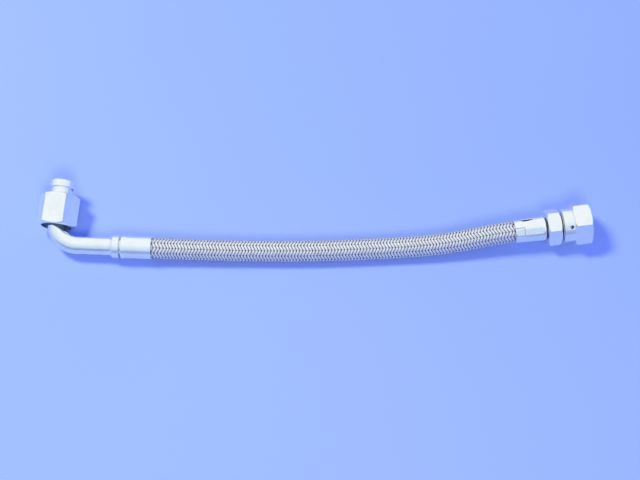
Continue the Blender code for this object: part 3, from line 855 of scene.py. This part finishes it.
def slot_depth(angle, z):
    """A long pocket behind the top of the ferrule, wide at one end and narrow at the other."""
    share = (z - SLOT_PLACE) / SLOT_HALF_LENGTH
    if abs(share) >= 1:
        return 0.0
    half_width = (SLOT_HALF_WIDTH - SLOT_NARROWING * share) * (1 - share * share) ** 0.5
    off = abs(wrapped(angle - SLOT_ANGLE))
    rise = ease(0.8 * half_width, half_width + math.radians(1.0), off)
    return SLOT_DEPTH * (1 - rise) * (1 - share ** 8)


def add_straight_ferrule(place, material, shades):
    angles = even_angles(CRIMPED_SIDES)
    bore, hole, length = 5.25 * MM, 4.3 * MM, FERRULE_LENGTH
    wall = length - 1.6 * MM
    # Heights and insets of the rows, in millimetres: both ends are rounded off
    edge = [(0.0, 0.3), (0.05, 0.14), (0.14, 0.05), (0.3, 0.0)]
    between = [(0.42 + 0.18 * i, 0.0) for i in range(86)]
    rows = edge + between + [(length / MM - height, inset) for height, inset in edge[::-1]]
    rings = []
    for height, inset in rows:
        z = height * MM
        radii = [crimped_radius(angle, z) - inset * MM - slot_depth(angle, z) for angle in angles]
        rings.append([(r * math.cos(a), r * math.sin(a), z) for r, a in zip(radii, angles)])
    rings += circles([(hole, length), (hole, wall), (bore, wall), (bore, 0.0)], angles)
    made = add_ring_body("crimped_ferrule_sleeve", "straight_ferrule", rings, place, "hose_line",
                         material)
    skin = bore + 0.05 * MM
    # Painted shade in the groove round the tool's mark beside the mouth.
    paint(made, shades["mark"], lambda r, angle, z: r > skin and imprint_line(angle, z) > 0.4)
    # Painted shade: the pocket's floor is near black.
    paint(made, shades["slot"], lambda r, angle, z: r > skin and slot_depth(angle, z) > 0.25 * MM)


def add_straight_stem(place, material, shade):
    """The nipple, fixed hexagon, journal and seat nose, turned from one bar."""
    angles, radii = hexagon(FIXED_HEX_AF, FIXED_HEX_TURN)
    nipple, nipple_low, nipple_high = 3.15 * MM, 1.5 * MM, 14.7 * MM
    shoulder, shoulder_low = 5.5 * MM, FERRULE_LENGTH + 0.3 * MM
    journal, head = 6.8 * MM, 7.4 * MM
    groove_low, groove_high = WIRE_PLACE - WIRE_HALF_GROOVE, WIRE_PLACE + WIRE_HALF_GROOVE
    seat = head - 0.9 * MM
    seat_foot = HEAD_HIGH - (seat - TUBE_BORE) / math.tan(SEAT_ANGLE)
    before = rounded([
        (BORE_RADIUS, nipple_low),
        (nipple, nipple_low),
        (nipple, nipple_high),
        (NECK_RADIUS, nipple_high),
        (NECK_RADIUS, shoulder_low),
        (shoulder, shoulder_low, 0.1 * MM),
        (shoulder, HEX_LOW),
    ])[CORNER_POINTS:-CORNER_POINTS]
    after = rounded([
        (seat, HEAD_HIGH - 2 * MM),
        (journal, HEX_HIGH, 0.0),
        (journal, groove_low),
        (journal - WIRE_HALF_GROOVE, groove_low),
        (journal - WIRE_HALF_GROOVE, groove_high),
        (journal, groove_high),
        (journal, HEAD_LOW),
        (head, HEAD_LOW),
        (head, HEAD_HIGH, 0.4 * MM),
        (seat, HEAD_HIGH, 0.15 * MM),
        (TUBE_BORE, seat_foot, 0.2 * MM),
        (BORE_RADIUS, seat_foot - 1.2 * MM, 0.2 * MM),
    ])[CORNER_POINTS:]
    rings = circles([(BORE_RADIUS, nipple_low)] + before + [(shoulder, HEX_LOW)], angles)
    rings += chamfered_end(angles, radii, FIXED_HEX_CHAMFER_CIRCLE, HEX_LOW, 1)
    rings += chamfered_end(angles, radii, FIXED_HEX_CHAMFER_CIRCLE, HEX_HIGH, -1)[::-1]
    rings += circles(after, angles)
    made = add_ring_body("straight_stem_hex", "straight_stem", rings, place, "hose_line", material)
    # Painted shade on the shoulder below the hexagon and on the journal above it, in the gaps between
    # the parts.
    paint(made, shade, lambda r, angle, z: z < HEX_LOW and r < shoulder + 0.1 * MM
          or HEX_HIGH < z < HEAD_LOW and r < journal + 0.1 * MM)


def add_straight_nut(place, material):
    angles, radii = hexagon(STRAIGHT_NUT_AF, 0.0, along=12)
    hole, collar, groove, lead = 7.1 * MM, 9.15 * MM, 0.75 * MM, 8.95 * MM
    minor, shoulder = STRAIGHT_THREAD[0], HEAD_LOW - 0.3 * MM
    outside = rounded([
        (hole, NUT_LOW - 1 * MM),
        (hole, NUT_LOW, 0.3 * MM),
        (collar, NUT_LOW, 0.45 * MM),
        (collar, NUT_HEX_LOW, 0.3 * MM),
        (collar + 2 * MM, NUT_HEX_LOW),
    ])[CORNER_POINTS:-CORNER_POINTS]
    rings = circles(outside, angles)
    rings += chamfered_end(angles, radii, STRAIGHT_NUT_BACK_CIRCLE, NUT_HEX_LOW, 1)
    rings += chamfered_end(angles, radii, STRAIGHT_NUT_FRONT_CIRCLE, NUT_HIGH, -1)[::-1]
    rings += circles([(lead, NUT_HIGH)], angles)
    rings += thread_rings(angles, STRAIGHT_THREAD, NUT_HIGH, shoulder + 1.2 * MM, lead)
    rings += circles([
        (minor, shoulder + 1.1 * MM),
        (minor, shoulder),
        (hole, shoulder),
        (hole, WIRE_PLACE + WIRE_HALF_GROOVE),
        (hole + groove, WIRE_PLACE + WIRE_HALF_GROOVE),
        (hole + groove, WIRE_PLACE - WIRE_HALF_GROOVE),
        (hole, WIRE_PLACE - WIRE_HALF_GROOVE),
        (hole, NUT_LOW + 0.4 * MM),
    ], angles)
    made = add_ring_body("straight_nut_hex", "straight_swivel_nut", rings, place, "straight_nut",
                         material)
    drill_wire_hole(made, place)


def drill_wire_hole(nut, place):
    """Cuts the radial hole that the thrust wire goes in by. The cut's own modifier goes again."""
    angles = even_angles(WIRE_HOLE_SIDES)
    verts = [point for low in WIRE_HOLE_REACH for point in circle(WIRE_HOLE_RADIUS, low, angles)]
    data = bpy.data.meshes.new("drill")
    data.from_pydata(verts, [], capped_faces(2, WIRE_HOLE_SIDES))
    drill = bpy.data.objects.new("drill", data)
    bpy.context.scene.collection.objects.link(drill)
    out = Vector((math.cos(WIRE_HOLE_TILT), math.sin(WIRE_HOLE_TILT), 0))
    turn = out.to_track_quat("Z", "Y").to_matrix().to_4x4()
    drill.matrix_world = place @ Matrix.Translation((0, 0, WIRE_PLACE)) @ turn
    cut = nut.modifiers.new("wire_hole", "BOOLEAN")
    cut.operation = "DIFFERENCE"
    cut.solver = "EXACT"
    cut.object = drill
    nut.modifiers.move(1, 0)
    bpy.context.view_layer.update()
    graph = bpy.context.evaluated_depsgraph_get()
    nut.modifiers["normals"].show_viewport = False
    graph.update()
    drilled = bpy.data.meshes.new_from_object(nut.evaluated_get(graph))
    nut.modifiers.remove(cut)
    nut.modifiers["normals"].show_viewport = True
    nut.data = drilled
    bpy.data.objects.remove(drill)


def add_straight_end(out, steel, shades):
    place = axis_frame(STRAIGHT_MOUTH, out, UP)
    add_straight_ferrule(place, steel["turned"], shades)
    add_straight_stem(place, steel["hex"], shades["gap"])
    add_straight_nut(place, steel["hex"])


# Stage and light


def add_floor():
    data = bpy.data.meshes.new("floor")
    corners = [(-1, -1), (1, -1), (1, 1), (-1, 1)]
    verts = [(x * FLOOR_HALF_SIZE, y * FLOOR_HALF_SIZE, 0) for x, y in corners]
    data.from_pydata(verts, [], [(0, 1, 2, 3)])
    made, tree, shader = blank_material("floor_sheet")
    tone = noise(tree, stretched(tree, (1, 1, 1)), 3.0, 2.0, 0.5)
    blue = ramp(tree, tone, [(0.3, (0.335, 0.485, 0.97)), (0.7, (0.365, 0.51, 0.98))])
    tree.links.new(blue, shader.inputs["Base Color"])
    shader.inputs["Roughness"].default_value = 0.75
    shader.inputs["Specular IOR Level"].default_value = 0.1
    data.materials.append(made)
    floor = bpy.data.objects.new("floor", data)
    bpy.context.scene.collection.objects.link(floor)
    floor.location.z = -FLOOR_DROP


def add_light(name, direction, size, level, colour):
    """A soft disk lamp. The level is how bright it alone shows a white sheet that lies flat."""
    towards = Vector(direction).normalized()
    data = bpy.data.lights.new(name, "AREA")
    data.shape = "DISK"
    data.size = size
    data.energy = level * math.pi ** 2 * LAMP_DISTANCE ** 2 / towards.z
    data.color = colour
    made = bpy.data.objects.new(name, data)
    bpy.context.scene.collection.objects.link(made)
    made.location = towards * LAMP_DISTANCE
    made.rotation_euler = towards.to_track_quat("Z", "Y").to_euler()
    made.visible_glossy = False


def set_world():
    """A light tent: metal shows it white overhead and behind, and dimmer low down in front."""
    world = bpy.data.worlds.new("tent")
    bpy.context.scene.world = world
    world.use_nodes = True
    tree = world.node_tree
    background = next(n for n in tree.nodes if n.type == "BACKGROUND")
    place = node(tree, "ShaderNodeTexCoord")
    split = node(tree, "ShaderNodeSeparateXYZ", Vector=place.outputs["Generated"])
    lean = node(tree, "ShaderNodeMath", _0=split.outputs["Y"], _1=TENT_LEAN)
    lean.operation = "MULTIPLY"
    total = node(tree, "ShaderNodeMath", _0=split.outputs["Z"], _1=lean.outputs[0])
    share = node(tree, "ShaderNodeMapRange", Value=total.outputs[0], From_Min=TENT_LOW,
                 From_Max=TENT_HIGH)
    shown = ramp(tree, share.outputs["Result"], [
        (0.0, (0.2, 0.3, 0.6)),
        (0.24, (0.26, 0.37, 0.66)),
        (0.36, (0.5, 0.66, 0.9)),
        (0.62, (0.66, 0.82, 0.93)),
        (0.84, (0.87, 0.95, 0.97)),
        (1.0, (0.94, 0.98, 0.98)),
    ])
    path = node(tree, "ShaderNodeLightPath")
    seen = node(tree, "ShaderNodeMath", _0=path.outputs["Is Camera Ray"],
                _1=path.outputs["Is Glossy Ray"])
    seen.operation = "MAXIMUM"
    mix = node(tree, "ShaderNodeMix")
    mix.data_type = "RGBA"
    mix.inputs[6].default_value = AMBIENT
    tree.links.new(seen.outputs[0], mix.inputs[0])
    tree.links.new(shown, mix.inputs[7])
    tree.links.new(mix.outputs[2], background.inputs["Color"])
    background.inputs["Strength"].default_value = 1.0


add_camera()
elbow_out = Vector((math.cos(ELBOW_HEADING), math.sin(ELBOW_HEADING), 0))
straight_out = Vector((math.cos(STRAIGHT_HEADING), math.sin(STRAIGHT_HEADING), 0))
wire = braid_material()
# Painted shade: a dark core under the braid, seen through the gaps between the strands.
core = painted_shade_material("braid_shade", (0.18, 0.18, 0.2), (0.3, 0.3, 0.33), 0.6, 0.5)
# Painted shade for the imprint's groove, the nut's recess, the gaps beside the fixed hexagon and the
# ferrule's pocket.
shades = {
    "mark": painted_shade_material("mark_shade", (0.45, 0.48, 0.53), (0.57, 0.6, 0.65), 0.4, 0.85),
    "recess": painted_shade_material("recess_shade", (0.06, 0.14, 0.18), (0.13, 0.23, 0.29), 0.45, 0.6),
    "gap": painted_shade_material("gap_shade", (0.09, 0.1, 0.12), (0.16, 0.18, 0.22), 0.4, 0.8),
    "slot": painted_shade_material("slot_shade", (0.01, 0.01, 0.014), (0.03, 0.03, 0.04), 0.7, 0.0),
}
steel = {
    "tube": metal("bright_tube", (0.97, 0.985, 0.99), 0.03, 0.09, streaks=0.4, grain=TUBE_GRAIN,
                  waves=TUBE_WAVES, metallic=TUBE_METALLIC),
    "hex": metal("plated_hexagon", (0.96, 0.98, 0.99), 0.1, 0.22, streaks=0.6),
    "turned": metal("plated_turned", (0.96, 0.98, 0.99), 0.08, 0.18, rings=0.6),
}
add_hose(elbow_out, straight_out, wire, core)
add_elbow_end(elbow_out, steel, shades)
add_straight_end(straight_out, steel, shades)
wire_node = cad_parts["thrust_wire"]
wire_node.data.materials.clear()
wire_node.data.materials.append(metal("thrust_wire_steel", (0.6, 0.61, 0.62), 0.2, 0.35))
add_floor()
add_light("key", (-0.5, 0.22, 0.84), 0.45, 0.57, (1.0, 0.93, 0.3))
add_light("fill", (0.05, -0.66, 0.75), 0.5, 0.25, (1.0, 0.96, 0.6))
set_world()
bpy.context.scene.view_settings.view_transform = "Standard"
